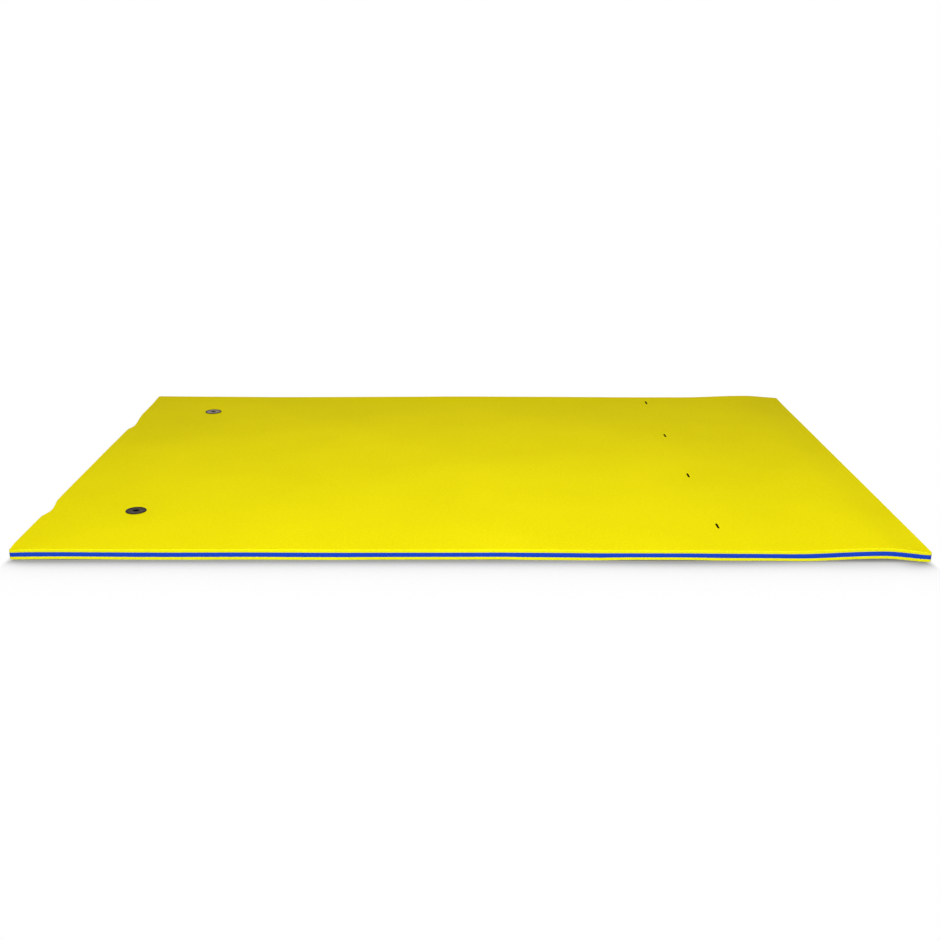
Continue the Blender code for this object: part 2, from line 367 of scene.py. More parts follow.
def closed_cell_foam(name, skin, cut, painted_hole_shade):
    """Matt polyethylene foam: mottled skin, open cells where cut, painted shade on the holes'
    walls.
    """
    # The skin shows soft spots of about 8 mm, and broad clouds of about 450 mm
    spot_size = 0.0085
    cloud_size = 0.45
    # Real cells are about 0.8 mm wide. They are drawn at 1.6 mm, or they wouldn't show
    cell_size = 0.0016
    material, tree = new_material(name)
    rest = add_node(tree, "ShaderNodeAttribute", attribute_name="rest").outputs["Vector"]
    cut_share = add_node(tree, "ShaderNodeAttribute", attribute_name="cut").outputs["Fac"]
    punched = add_node(tree, "ShaderNodeAttribute", attribute_name="punched").outputs["Fac"]
    spots = add_node(
        tree,
        "ShaderNodeTexNoise",
        {"Vector": rest, "Scale": 1 / spot_size, "Detail": 3.0, "Roughness": 0.6},
    ).outputs["Fac"]
    clouds = add_node(
        tree, "ShaderNodeTexNoise", {"Vector": rest, "Scale": 1 / cloud_size, "Detail": 2.0}
    ).outputs["Fac"]
    cells = add_node(
        tree, "ShaderNodeTexVoronoi", {"Vector": rest, "Scale": 1 / cell_size, "Randomness": 1.0}
    ).outputs["Distance"]
    # Spots and clouds each run from their darkest to their palest shade
    shade = 1.0
    for noise, darkest, palest in ((spots, 0.955, 1.03), (clouds, 0.97, 1.02)):
        tone = add_node(
            tree,
            "ShaderNodeMapRange",
            {"Value": noise, "From Min": 0.3, "From Max": 0.7, "To Min": darkest, "To Max": palest},
        ).outputs[0]
        shade = add_node(
            tree, "ShaderNodeMath", {0: shade, 1: tone}, operation="MULTIPLY"
        ).outputs[0]
    # The holes' walls are painted near-black, painted shade for the dark inside of the narrow slits
    # Cut edges take the cut colour: partly the cut foam's own colour, partly painted light
    colour = (*skin, 1)
    for share, other in ((cut_share, cut), (punched, painted_hole_shade)):
        colour = add_node(
            tree, "ShaderNodeMix", {0: share, 6: colour, 7: (*other, 1)}, data_type="RGBA"
        ).outputs[2]
    # Open cells are pits in the cut edges, and the spots are faint swells of the skin
    pores = add_node(tree, "ShaderNodeMapRange", {"Value": cells, "From Min": 0.6, "From Max": 0.0})
    pits = add_node(
        tree, "ShaderNodeMath", {0: pores.outputs[0], 1: cut_share}, operation="MULTIPLY"
    )
    height = add_node(
        tree, "ShaderNodeMath", {0: spots, 1: pits.outputs[0]}, operation="SUBTRACT"
    ).outputs[0]
    end_material(tree, colour, shade, (spots, 0.62, 0.74), (height, 0.6, 0.0004), 1.5, 0.004)
    return material


def moulded_nylon(name, plastic, painted_light_face):
    """Near-black moulded nylon: satin, finely grained. Its dished face takes a paler colour,
    painted light, and its mouth painted shade.
    """
    grain_size = 0.0011
    scuff_size = 0.014
    # Where the bead begins and ends its foot, and where the mouth begins, from the middle
    bead_from, bead_to = 0.0255, 0.0277
    mouth_from, mouth_to = 0.0119, 0.011
    mouth_light = 0.12
    material, tree = new_material(name)
    place = add_node(tree, "ShaderNodeTexCoord").outputs["Object"]
    grain, scuffs = (
        add_node(
            tree, "ShaderNodeTexNoise", {"Vector": place, "Scale": 1 / size, "Detail": detail}
        ).outputs["Fac"]
        for size, detail in ((grain_size, 2.0), (scuff_size, 4.0))
    )
    rubbed = add_node(
        tree,
        "ShaderNodeMapRange",
        {"Value": scuffs, "From Min": 0.45, "From Max": 0.75, "To Min": 0.9, "To Max": 1.35},
    ).outputs[0]
    # The face between the mouth and the bead takes the paler face colour, painted light, and the
    # mouth a darker copy of the plastic, painted shade
    reach = add_node(tree, "ShaderNodeAttribute", attribute_name="reach").outputs["Fac"]
    deep = [mouth_light * part for part in plastic]
    colour = (*painted_light_face, 1)
    for none, full, other in ((bead_from, bead_to, plastic), (mouth_from, mouth_to, deep)):
        share = add_node(
            tree, "ShaderNodeMapRange", {"Value": reach, "From Min": none, "From Max": full}
        ).outputs[0]
        colour = add_node(
            tree, "ShaderNodeMix", {0: share, 6: colour, 7: (*other, 1)}, data_type="RGBA"
        ).outputs[2]
    end_material(tree, colour, rubbed, (scuffs, 0.4, 0.6), (grain, 0.3, 0.0001), 1.53, 0.03)
    return material


def half_cosine(share):
    """A smooth dip, 1 in the middle and 0 at -1 and 1."""
    return (1 + math.cos(math.pi * share)) / 2 if abs(share) < 1 else 0.0


def left_edge(y, depth):
    """The left edge's X at y, with its two dents."""
    x = LEFT
    for deepest, front_reach, back_reach in DENTS.values():
        reach = back_reach if y > deepest else front_reach
        x += depth * half_cosine((y - deepest) / reach)
    return x


def spread(start, end, step):
    """Even stops from start to end, ends included, no further apart than step."""
    count = max(1, math.ceil(abs(end - start) / step))
    return [start + (end - start) * number / count for number in range(count + 1)]


def seams():
    """Where the slabs are parted: half way between each fold and the next."""
    middles = [(a + b) / 2 for a, b in zip(FOLDS, FOLDS[1:])]
    return [2 * FOLDS[0] - middles[0]] + middles


def heading(angle):
    """The direction at an angle from the X axis."""
    return Vector((math.cos(angle), math.sin(angle)))


def mat_outline(sizes, columns, rows):
    """The mat's edge as (place, outward direction), anticlockwise from the front left corner."""
    gap = 0.004
    radius = sizes.corner_radius
    clear = radius + gap
    inner_columns = [x for x in columns if LEFT + clear < x < RIGHT - clear]
    inner_rows = [y for y in rows if FRONT + clear < y < BACK - clear]

    def corner(x, y, start):
        steps = 6
        for step in range(steps + 1):
            direction = heading(start + math.pi / 2 * step / steps)
            outline.append((Vector((x, y)) + direction * radius, direction))

    outline = [(Vector((x, FRONT)), Vector((0, -1))) for x in inner_columns]
    corner(RIGHT - radius, FRONT + radius, -math.pi / 2)
    outline += [(Vector((RIGHT, y)), Vector((1, 0))) for y in inner_rows]
    corner(RIGHT - radius, BACK - radius, 0)
    outline += [(Vector((x, BACK)), Vector((0, 1))) for x in reversed(inner_columns)]
    corner(LEFT + radius, BACK - radius, math.pi / 2)
    near = 0.001
    for y in spread(BACK - clear - gap, FRONT + clear + gap, DENT_STEP):
        before, here, after = (left_edge(y + way, sizes.dent_depth) for way in (-near, 0, near))
        slope = (after - before) / (2 * near)
        outline.append((Vector((here, y)), Vector((-1, slope)).normalized()))
    corner(LEFT + radius, FRONT + radius, math.pi)
    return outline


def slit_outline(sizes, place):
    """One slit's edge, clockwise, with directions that point into the slit."""
    half_width = sizes.slit_width / 2
    reach = sizes.slit_length / 2 - half_width
    outline = []
    steps = 8
    for end, start in ((-1, 0), (1, math.pi)):
        centre = place.xy + Vector((0, end * reach))
        for step in range(steps + 1):
            direction = heading(start - math.pi * step / steps)
            outline.append((centre + direction * half_width, -direction))
        for share in (0.2, 0.4, 0.6, 0.8):
            side = Vector((end * half_width, end * reach * (1 - 2 * share)))
            outline.append((place.xy + side, Vector((-end, 0))))
    return outline


def ring_outline(place, radius):
    """A round hole's edge, clockwise, with directions that point to its middle."""
    directions = [heading(-2 * math.pi * step / RING_STEPS) for step in range(RING_STEPS)]
    return [(place.xy + direction * radius, -direction) for direction in directions]


class Plan:
    """The slabs' shared plan: points, triangles, and the free edges' loops and directions."""

    def __init__(self, sizes):
        self.points, self.links, self.loops = [], [], []
        parted = seams()
        columns = [LEFT + reach for reach in FIRST_COLUMNS[:-1]]
        columns += spread(LEFT + FIRST_COLUMNS[-1], parted[0], COLUMN_STEP)
        for a, b in zip(parted, parted[1:] + [RIGHT]):
            columns += spread(a, b, FOLD_STEP)[1:]
        rows = spread(FRONT, BACK, ROW_STEP)
        self.add_edge(mat_outline(sizes, columns, rows))
        for place in SLITS:
            self.add_edge(slit_outline(sizes, place))
        for place in GROMMETS.values():
            self.add_edge(ring_outline(place, HOLE_RADIUS))
            for radius in DISH_RINGS:
                self.add_loop([point for point, _ in ring_outline(place, radius)])
        field = [Vector((x, y)) for x in columns for y in rows]
        self.points += [spot for spot in field if self.is_open_field(spot, sizes)]
        self.triangles = self.triangulate(sizes)

    def add_loop(self, points):
        first = len(self.points)
        count = len(points)
        self.points += points
        self.links += [(first + step, first + (step + 1) % count) for step in range(count)]
        return first

    def add_edge(self, outline):
        """A free edge: its own loop, and one inside it that keeps its rounding local."""
        first = self.add_loop([point for point, _ in outline])
        self.loops.append((first, outline))
        self.add_loop([point - direction * SUPPORT for point, direction in outline])

    @staticmethod
    def is_open_field(spot, sizes):
        if not (FRONT + MARGIN < spot.y < BACK - MARGIN and spot.x < RIGHT - MARGIN):
            return False
        if spot.x < left_edge(spot.y, sizes.dent_depth) + MARGIN:
            return False
        if any((spot - place.xy).length < DISH_RINGS[-1] + MARGIN for place in GROMMETS.values()):
            return False
        reach = sizes.slit_length / 2 + MARGIN
        width = sizes.slit_width / 2 + MARGIN
        offsets = [spot - place.xy for place in SLITS]
        return not any(abs(offset.x) < width and abs(offset.y) < reach for offset in offsets)

    def triangulate(self, sizes):
        """Triangles over the whole plan, without those that lie in a hole or outside a dent."""
        hole = HOLE_RADIUS * OPEN_SHARE
        spots, _, faces, origins, _, _ = delaunay_2d_cdt(self.points, self.links, [], 0, 1e-7)
        if len(spots) != len(self.points):
            raise RuntimeError("the plan's points cross or meet")
        kept = []
        for face in faces:
            triangle = [origins[corner][0] for corner in face]
            a, b, c = (self.points[corner] for corner in triangle)
            middle = (a + b + c) / 3
            if middle.x < left_edge(middle.y, sizes.dent_depth):
                continue
            if any((middle - place.xy).length < hole for place in GROMMETS.values()):
                continue
            if any(self.is_in_slit(middle, place, sizes) for place in SLITS):
                continue
            if (b - a).cross(c - a) < 0:
                triangle.reverse()
            kept.append(triangle)
        return kept

    @staticmethod
    def is_in_slit(middle, place, sizes):
        half_width = sizes.slit_width / 2
        reach = sizes.slit_length / 2 - half_width
        offset = middle - place.xy
        offset.y = max(0, abs(offset.y) - reach)
        return offset.length < half_width * OPEN_SHARE


def edge_rings(low, high, top_round, bottom_round):
    """A wall's rings from top to bottom as (inset, height), without the two faces' own loops."""
    steps = 3
    turns = [heading(math.pi / 2 * step / steps) for step in range(steps + 1)]
    return [
        *((top_round * (1 - turn.y), high - top_round * (1 - turn.x)) for turn in turns[1:]),
        (0, (low + high) / 2),
        *((bottom_round * (1 - turn.x), low + bottom_round * (1 - turn.y)) for turn in turns[:-1]),
    ]


def slab_mesh(name, plan, low, high, top_round, bottom_round):
    """One whole sheet as a closed mesh. Attributes tell its cut edges and its holes' walls."""
    count = len(plan.points)
    points = [(*point, height) for height in (high, low) for point in plan.points]
    cut = [0.0] * len(points)
    punched = [0.0] * len(points)
    faces = []
    for first, outline in plan.loops:
        for step, (place, direction) in enumerate(outline):
            points[first + step] = (*(place - direction * top_round), high)
            points[count + first + step] = (*(place - direction * bottom_round), low)
    for a, b, c in plan.triangles:
        faces.append((a, b, c))
        faces.append((count + c, count + b, count + a))
    for number, (first, outline) in enumerate(plan.loops):
        size = len(outline)
        rows = [[first + step for step in range(size)]]
        for inset, height in edge_rings(low, high, top_round, bottom_round):
            rows.append(list(range(len(points), len(points) + size)))
            points += [(*(place - direction * inset), height) for place, direction in outline]
            cut += [1.0] * size
            # The holes' walls, every loop after the outer edge, take the painted shade
            punched += [min(1.0, number)] * size
        rows.append([count + first + step for step in range(size)])
        for upper, lower in zip(rows, rows[1:]):
            for step in range(size):
                after = (step + 1) % size
                faces.append((upper[step], lower[step], lower[after], upper[after]))
    mesh = bpy.data.meshes.new(name)
    mesh.from_pydata(points, [], faces)
    mesh.attributes.new("cut", "FLOAT", "POINT").data.foreach_set("value", cut)
    mesh.attributes.new("punched", "FLOAT", "POINT").data.foreach_set("value", punched)
    mesh.shade_smooth()
    return mesh


def new_tree(name, kinds):
    """An empty Geometry Nodes tree: its geometry, inputs of the kinds named, and a material."""
    tree = bpy.data.node_groups.new(name, "GeometryNodeTree")
    kinds = {"Geometry": "NodeSocketGeometry", **kinds, "Material": "NodeSocketMaterial"}
    for label, kind in kinds.items():
        tree.interface.new_socket(label, in_out="INPUT", socket_type=kind)
    tree.interface.new_socket("Geometry", in_out="OUTPUT", socket_type="NodeSocketGeometry")
    return tree


def end_tree(tree, geometry, material):
    """Ends a Geometry Nodes tree: real instances, with their material set."""
    realized = add_node(tree, "GeometryNodeRealizeInstances", {"Geometry": geometry})
    finished = add_node(
        tree, "GeometryNodeSetMaterial", {"Geometry": realized.outputs[0], "Material": material}
    )
    add_node(tree, "NodeGroupOutput", {"Geometry": finished.outputs[0]})


def lie_tree():
    """Node tree that lays a slab on the floor: LIE_RULES move a point by its place in the mat."""
    lengths = ["wave_start", "wave_crest"] + [amount for _, _, amount, _ in LIE_RULES]
    spots = [f"{side}_{kind}" for side in ("near", "far") for kind in ("grommet", "dent")]
    kinds = dict.fromkeys(lengths, "NodeSocketFloat") | dict.fromkeys(spots, "NodeSocketVector")
    tree = new_tree("mat_lie", kinds)
    given = add_node(tree, "NodeGroupInput").outputs
    place = add_node(tree, "GeometryNodeInputPosition").outputs["Position"]
    x, y, z = add_node(tree, "ShaderNodeSeparateXYZ", {"Vector": place}).outputs
    across = add_node(tree, "ShaderNodeMath", {0: x}, operation="ABSOLUTE").outputs[0]

    # How far a point is from the nearer grommet and the nearer dent. A dent's mark runs on along Y
    flat = (1.0, 1.0, 0.0)
    distances = []
    for kind, scale in (("grommet", flat), ("dent", (1.0, 0.8, 0.0))):
        lengths = []
        for side in ("near", "far"):
            offset = place
            for operation, other in (("SUBTRACT", given[f"{side}_{kind}"]), ("MULTIPLY", scale)):
                offset = add_node(
                    tree, "ShaderNodeVectorMath", {0: offset, 1: other}, operation=operation
                ).outputs[0]
            length = add_node(tree, "ShaderNodeVectorMath", {0: offset}, operation="LENGTH")
            lengths.append(length.outputs["Value"])
        nearer = add_node(
            tree, "ShaderNodeMath", {0: lengths[0], 1: lengths[1]}, operation="MINIMUM"
        )
        distances.append(nearer.outputs[0])
    from_grommet, from_dent = distances

    # Broad ripples, the same through the whole thickness
    plan_place = add_node(tree, "ShaderNodeVectorMath", {0: place, 1: flat}, operation="MULTIPLY")
    noise = add_node(
        tree,
        "ShaderNodeTexNoise",
        {"Vector": plan_place.outputs[0], "Scale": 1 / RIPPLE_SIZE, "Detail": 1.0},
    ).outputs[0]

    # Each share's value, where the share is 0, where it is 1, and whether it starts and ends softly
    even, soft = "LINEAR", "SMOOTHSTEP"
    ranges = {
        "along": (x, LEFT, RIGHT, even),
        "level": (z, 0.0, THICKNESS, even),
        "depth": (z, THICKNESS, 0.0, even),
        "underneath": (z, LAYERS["bottom"][1], 0.0, even),
        "wave_rise": (x, given["wave_start"], given["wave_crest"], soft),
        "wave_fall": (x, RIGHT, given["wave_crest"], soft),
        "to_front": (y, BACK, FRONT, even),
        "to_back": (y, FRONT, BACK, even),
        "arch_rise": (x, LEFT + 0.01, LEFT + 0.15, soft),
        "arch_fall": (x, LEFT + 0.4, LEFT + 0.17, soft),
        "by_front": (y, FRONT + 0.3, FRONT, soft),
        "near_front": (y, FRONT + 0.17, FRONT, even),
        "at_front": (y, FRONT + 0.06, FRONT, soft),
        "by_back": (y, BACK - 0.15, BACK, soft),
        "at_ends": (across, RIGHT - 0.06, RIGHT, soft),
        "at_right": (x, RIGHT - 0.2, RIGHT, soft),
        "off_grommets": (from_grommet, 0.05, 0.24, soft),
        "near_seat": (from_grommet, SEAT_RADIUS + 0.036, SEAT_RADIUS, soft),
        "in_seat": (from_grommet, SEAT_RADIUS + 0.0003, SEAT_RADIUS - 0.0002, even),
        "near_dent": (from_dent, 0.075, 0.0, soft),
        "ripples": (noise, 0.36, 0.64, even),
    }
    shares = {}
    for name, (value, none, full, kind) in ranges.items():
        shares[name] = add_node(
            tree,
            "ShaderNodeMapRange",
            {"Value": value, "From Min": none, "From Max": full},
            interpolation_type=kind,
        ).outputs[0]
    for name, points in CURVES.items():
        node = add_node(tree, "ShaderNodeFloatCurve", {"Value": shares["along"]})
        curve = node.mapping.curves[0].points
        curve[0].location, curve[1].location = points[0], points[-1]
        for point in points[1:-1]:
            curve.new(*point)
        node.mapping.update()
        shares[name] = node.outputs[0]

    moves = {"X": 0.0, "Y": 0.0, "Z": 0.0}
    for axis, way, amount, names in LIE_RULES:
        move = given[amount]
        for name in names:
            move = add_node(
                tree, "ShaderNodeMath", {0: move, 1: shares[name]}, operation="MULTIPLY"
            ).outputs[0]
        moves[axis] = add_node(
            tree, "ShaderNodeMath", {0: moves[axis], 1: move}, operation=way
        ).outputs[0]
    offset = add_node(tree, "ShaderNodeCombineXYZ", moves)
    kept = add_node(
        tree,
        "GeometryNodeStoreNamedAttribute",
        {"Geometry": given["Geometry"], "Name": "rest", "Value": place},
        data_type="FLOAT_VECTOR",
        domain="POINT",
    )
    moved = add_node(
        tree, "GeometryNodeSetPosition", {"Geometry": kept.outputs[0], "Offset": offset.outputs[0]}
    )
    end_tree(tree, moved.outputs[0], given["Material"])
    return tree


def grown(mesh, tree, values):
    """The plain mesh that a node tree makes of a mesh. Inputs are set by their identifiers."""
    thing = bpy.data.objects.new(mesh.name, mesh)
    bpy.context.scene.collection.objects.link(thing)
    modifier = thing.modifiers.new(tree.name, "NODES")
    modifier.node_group = tree
    for item in tree.interface.items_tree:
        if item.in_out == "INPUT" and item.name in values:
            modifier[item.identifier] = values[item.name]
    graph = bpy.context.evaluated_depsgraph_get()
    result = bpy.data.meshes.new_from_object(thing.evaluated_get(graph), depsgraph=graph)
    thing.modifiers.remove(modifier)
    bpy.data.objects.remove(thing)
    bpy.data.meshes.remove(mesh)
    return result


def add_piece(name, mesh):
    piece = bpy.data.objects.new(name, mesh)
    mesh.name = name
    bpy.context.scene.collection.objects.link(piece)
    return piece


def parted_piece(slab, start, end):
    """A slab's stretch from X start to X end, shaded as if the slab were still whole."""
    bm = bmesh.new()
    bm.from_mesh(slab)
    whole = bm.verts.layers.float_vector.new("whole")
    bm.normal_update()
    for vert in bm.verts:
        vert[whole] = vert.normal
    rest = bm.verts.layers.float_vector["rest"]

    def is_outside(face):
        middle = sum(vert[rest].x for vert in face.verts) / len(face.verts)
        return not start < middle < end

    bmesh.ops.delete(bm, geom=[face for face in bm.faces if is_outside(face)], context="FACES")
    # Caps the pillow end's pieces. On a main piece the fill closes nothing, because the thin
    # triangles in its holes are open too, and its end stays open against the next piece
    open_edges = [edge for edge in bm.edges if edge.is_boundary]
    made = bmesh.ops.edgeloop_fill(bm, edges=open_edges)
    caps = set(bmesh.ops.triangulate(bm, faces=made["faces"])["faces"])
    bmesh.ops.recalc_face_normals(bm, faces=bm.faces)
    for face in bm.faces:
        face.smooth = face not in caps
    bm.normal_update()
    normals = [
        (face.normal if face in caps else vert[whole]).copy()
        for face in bm.faces
        for vert in face.verts
    ]
    bm.verts.layers.float_vector.remove(whole)
    mesh = bpy.data.meshes.new(slab.name)
    bm.to_mesh(mesh)
    bm.free()
    mesh.materials.append(slab.materials[0])
    mesh.normals_split_custom_set(normals)
    return mesh


class FOAMMAT_OT_sheets(bpy.types.Operator):
    """Makes the three foam sheets, each parted across the pillow end"""

    bl_idname = "foam_mat.sheets"
    bl_label = "Foam sheets"

    def execute(self, context):
        sizes = context.scene.foam_mat_sizes
        finish = context.scene.foam_mat_finish
        yellow = closed_cell_foam(
            "polyethylene_foam_yellow", finish.yellow, finish.yellow_cut_and_painted_light, finish.painted_hole_shade
        )
        blue = closed_cell_foam("polyethylene_foam_blue", finish.blue, finish.blue, finish.painted_hole_shade)
        foams = {"bottom": yellow, "core": blue, "top": yellow}
        slots = {"bottom": "foam_yellow", "core": "foam_blue", "top": "foam_yellow"}
        amounts = [amount for _, _, amount, _ in LIE_RULES if amount not in DEPTHS]
        crest = RIGHT - sizes.wave_from_end
        values = {
            **{amount: getattr(sizes, amount) for amount in amounts},
            **DEPTHS,
            "wave_crest": crest,
            "wave_start": crest - sizes.wave_reach,
            **{f"{side}_grommet": place for side, place in GROMMETS.items()},
            **{f"{side}_dent": Vector((LEFT, dent[0], 0)) for side, dent in DENTS.items()},
        }
        plan = Plan(sizes)
        tree = lie_tree()
        for layer, (low, high) in self.levels(sizes.core_growth).items():
            top_round = sizes.cut_round if layer == "top" else sizes.bond_round
            bottom_round = sizes.foot_round if layer == "bottom" else sizes.bond_round
            mesh = slab_mesh(f"{layer}_slab", plan, low, high, top_round, bottom_round)
            slab = grown(mesh, tree, {**values, "Material": foams[layer]})
            self.part(slab, layer, slots[layer])
            bpy.data.meshes.remove(slab)
        return {"FINISHED"}

    @staticmethod
    def levels(growth):
        """Each sheet's heights. The core takes up the bonds and a little of its neighbours."""
        growth_below = 0.8
        core_low = LAYERS["core"][0] - growth * growth_below
        core_high = LAYERS["core"][1] + growth * (1 - growth_below)
        return {
            "bottom": (LAYERS["bottom"][0], core_low - BOND),
            "core": (core_low, core_high),
            "top": (core_high + BOND, LAYERS["top"][1]),
        }

    def part(self, slab, layer, slot):
        """Parts a slab at its seams, so that each piece holds one fold."""
        starts = seams()
        ends = starts[1:] + [2 * FOLDS[-1] - starts[-1]]
        last = len(FOLDS)
        for number, (start, end) in enumerate(zip(starts, ends), 1):
            stretch = (start if number > 1 else LEFT - 1, end if number < last else RIGHT + 1)
            piece = add_piece(f"foam_{layer}_{number:02}", parted_piece(slab, *stretch))
            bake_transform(piece)
            if number == 1:
                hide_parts(f"main_{layer}_sheet")
            else:
                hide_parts(f"pillow_{number - 1:02}_{layer}_sheet")
            if number == last:
                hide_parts(f"pillow_{number:02}_{layer}_sheet")


def ring_tree():
    """Node tree that sweeps a profile round an upright axis, at a grommet's place."""
    kinds = {"Segments": "NodeSocketInt", "Place": "NodeSocketVector"}
    tree = new_tree("grommet_ring", kinds)
    given = add_node(tree, "NodeGroupInput").outputs
    profile = add_node(tree, "GeometryNodeMeshToCurve", {"Mesh": given["Geometry"]})
    path = add_node(
        tree,
        "GeometryNodeCurvePrimitiveCircle",
        {"Resolution": given["Segments"], "Radius": PATH_RADIUS},
    )
    swept = add_node(
        tree,
        "GeometryNodeCurveToMesh",
        {"Curve": path.outputs[0], "Profile Curve": profile.outputs[0]},
    )
    # How far each point is from the axis, for the material
    spot = add_node(tree, "GeometryNodeInputPosition").outputs["Position"]
    level = add_node(
        tree, "ShaderNodeVectorMath", {0: spot, 1: (1.0, 1.0, 0.0)}, operation="MULTIPLY"
    )
    reach = add_node(tree, "ShaderNodeVectorMath", {0: level.outputs[0]}, operation="LENGTH")
    kept = add_node(
        tree,
        "GeometryNodeStoreNamedAttribute",
        {"Geometry": swept.outputs[0], "Name": "reach", "Value": reach.outputs["Value"]},
        data_type="FLOAT",
        domain="POINT",
    )
    placed = add_node(
        tree, "GeometryNodeTransform", {"Geometry": kept.outputs[0], "Translation": given["Place"]}
    )
    end_tree(tree, placed.outputs[0], given["Material"])
    return tree


def rounded(corners, steps=4):
    """A closed profile from (radius, height, round) corners, each rounded by its own radius."""
    points = []
    count = len(corners)
    for number, (radius, height, round_off) in enumerate(corners):
        here = Vector((radius, height))
        if round_off == 0:
            points.append(here)
            continue
        before = Vector(corners[number - 1][:2]) - here
        after = Vector(corners[(number + 1) % count][:2]) - here
        turn = before.angle(after)
        back = round_off / math.tan(turn / 2)
        start = here + before.normalized() * back
        end = here + after.normalized() * back
        for step in range(steps + 1):
            share = step / steps
            points.append(start.lerp(here, share).lerp(here.lerp(end, share), share))
    return points


def profile_mesh(name, corners):
    """A rounded profile as a line, counted from its path. The sweep turns its Y downwards."""
    points = rounded(corners)
    count = len(points)
    mesh = bpy.data.meshes.new(name)
    mesh.from_pydata(
        [(point.x - PATH_RADIUS, -point.y, 0) for point in points],
        [(step, (step + 1) % count) for step in range(count)],
        [],
    )
    return mesh


def eyelet_profile(face, bead_top, flange, low):
    """The upper half: a bead round the flange, a dished face, a funnel mouth and the barrel."""
    bore = BORE_RADIUS
    barrel = bore + 2.9 * MM
    seat = face - 1.3 * MM
    return [
        (bore, low, 0.3 * MM),
        (bore, face - 4.6 * MM, 0.8 * MM),
        (bore + 3.0 * MM, face - 0.15 * MM, 0.6 * MM),
        (flange - 6.3 * MM, face - 0.15 * MM, 0.4 * MM),
        (flange - 5.2 * MM, face, 0.3 * MM),
        (flange - 4.2 * MM, bead_top, 1.1 * MM),
        (flange - 1.2 * MM, bead_top, 1.1 * MM),
        (flange, face - 0.3 * MM, 0.8 * MM),
        (flange - 0.2 * MM, seat, 0.2 * MM),
        (barrel, seat, 0.3 * MM),
        (barrel, low, 0.3 * MM),
    ]


def washer_profile(low, flange):
    """The lower half: a flange with a round rim, and a collar up the barrel."""
    inner = BORE_RADIUS + 3.2 * MM
    collar = inner + 2.2 * MM
    seat = low + 2.1 * MM
    return [
        (inner, low, 0.4 * MM),
        (flange, low, 1.3 * MM),
        (flange, seat, 0.2 * MM),
        (collar, seat, 0.3 * MM),
        (collar, seat + 5.8 * MM, 0.3 * MM),
        (inner, seat + 5.8 * MM, 0.3 * MM),
    ]


class FOAMMAT_OT_grommets(bpy.types.Operator):
    """Makes both grommets, each of an upper and a lower half"""

    bl_idname = "foam_mat.grommets"
    bl_label = "Grommets"

    def execute(self, context):
        sizes = context.scene.foam_mat_sizes
        finish = context.scene.foam_mat_finish
        # Each grommet gets its own face colour: painted light on the near one, a painted reflection
        # on the far one
        nylons = {
            "near": moulded_nylon("moulded_nylon_charcoal", finish.plastic, finish.near_painted_light_face),
            "far": moulded_nylon("moulded_nylon_worn", finish.plastic, finish.far_painted_light_face),
        }
        tree = ring_tree()
        for side, place in GROMMETS.items():
            eyelet_low, eyelet_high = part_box(f"{side}_grommet_eyelet")
            washer_low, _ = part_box(f"{side}_grommet_washer")
            flange = (eyelet_high.x - eyelet_low.x) / 2
            face = eyelet_high.z - MM
            profiles = {
                "eyelet": eyelet_profile(face, eyelet_high.z, flange, eyelet_low.z),
                "washer": washer_profile(washer_low.z, flange),
            }
            for half, corners in profiles.items():
                name = f"{side}_grommet_{half}_moulding"
                values = {"Segments": sizes.segments, "Place": place, "Material": nylons[side]}
                mesh = grown(profile_mesh(name, corners), tree, values)
                self.face_outwards(mesh)
                piece = add_piece(name, mesh)
                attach(piece, "main_mat")
                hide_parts(f"{side}_grommet_{half}")
        return {"FINISHED"}

    @staticmethod
    def face_outwards(mesh):
        bm = bmesh.new()
        bm.from_mesh(mesh)
        bmesh.ops.remove_doubles(bm, verts=bm.verts, dist=1e-6)
        bmesh.ops.recalc_face_normals(bm, faces=bm.faces)
        bm.to_mesh(mesh)
        bm.free()
        mesh.shade_smooth()


def seen_share(tree):
    """1 where the camera sees a thing, also in a mirror or through glass, and 0 for other light."""
    path = add_node(tree, "ShaderNodeLightPath").outputs
    seen = path["Is Camera Ray"]
    for ray in ("Is Glossy Ray", "Is Transmission Ray"):
        seen = add_node(
            tree, "ShaderNodeMath", {0: seen, 1: path[ray]}, operation="MAXIMUM"
        ).outputs[0]
    return seen


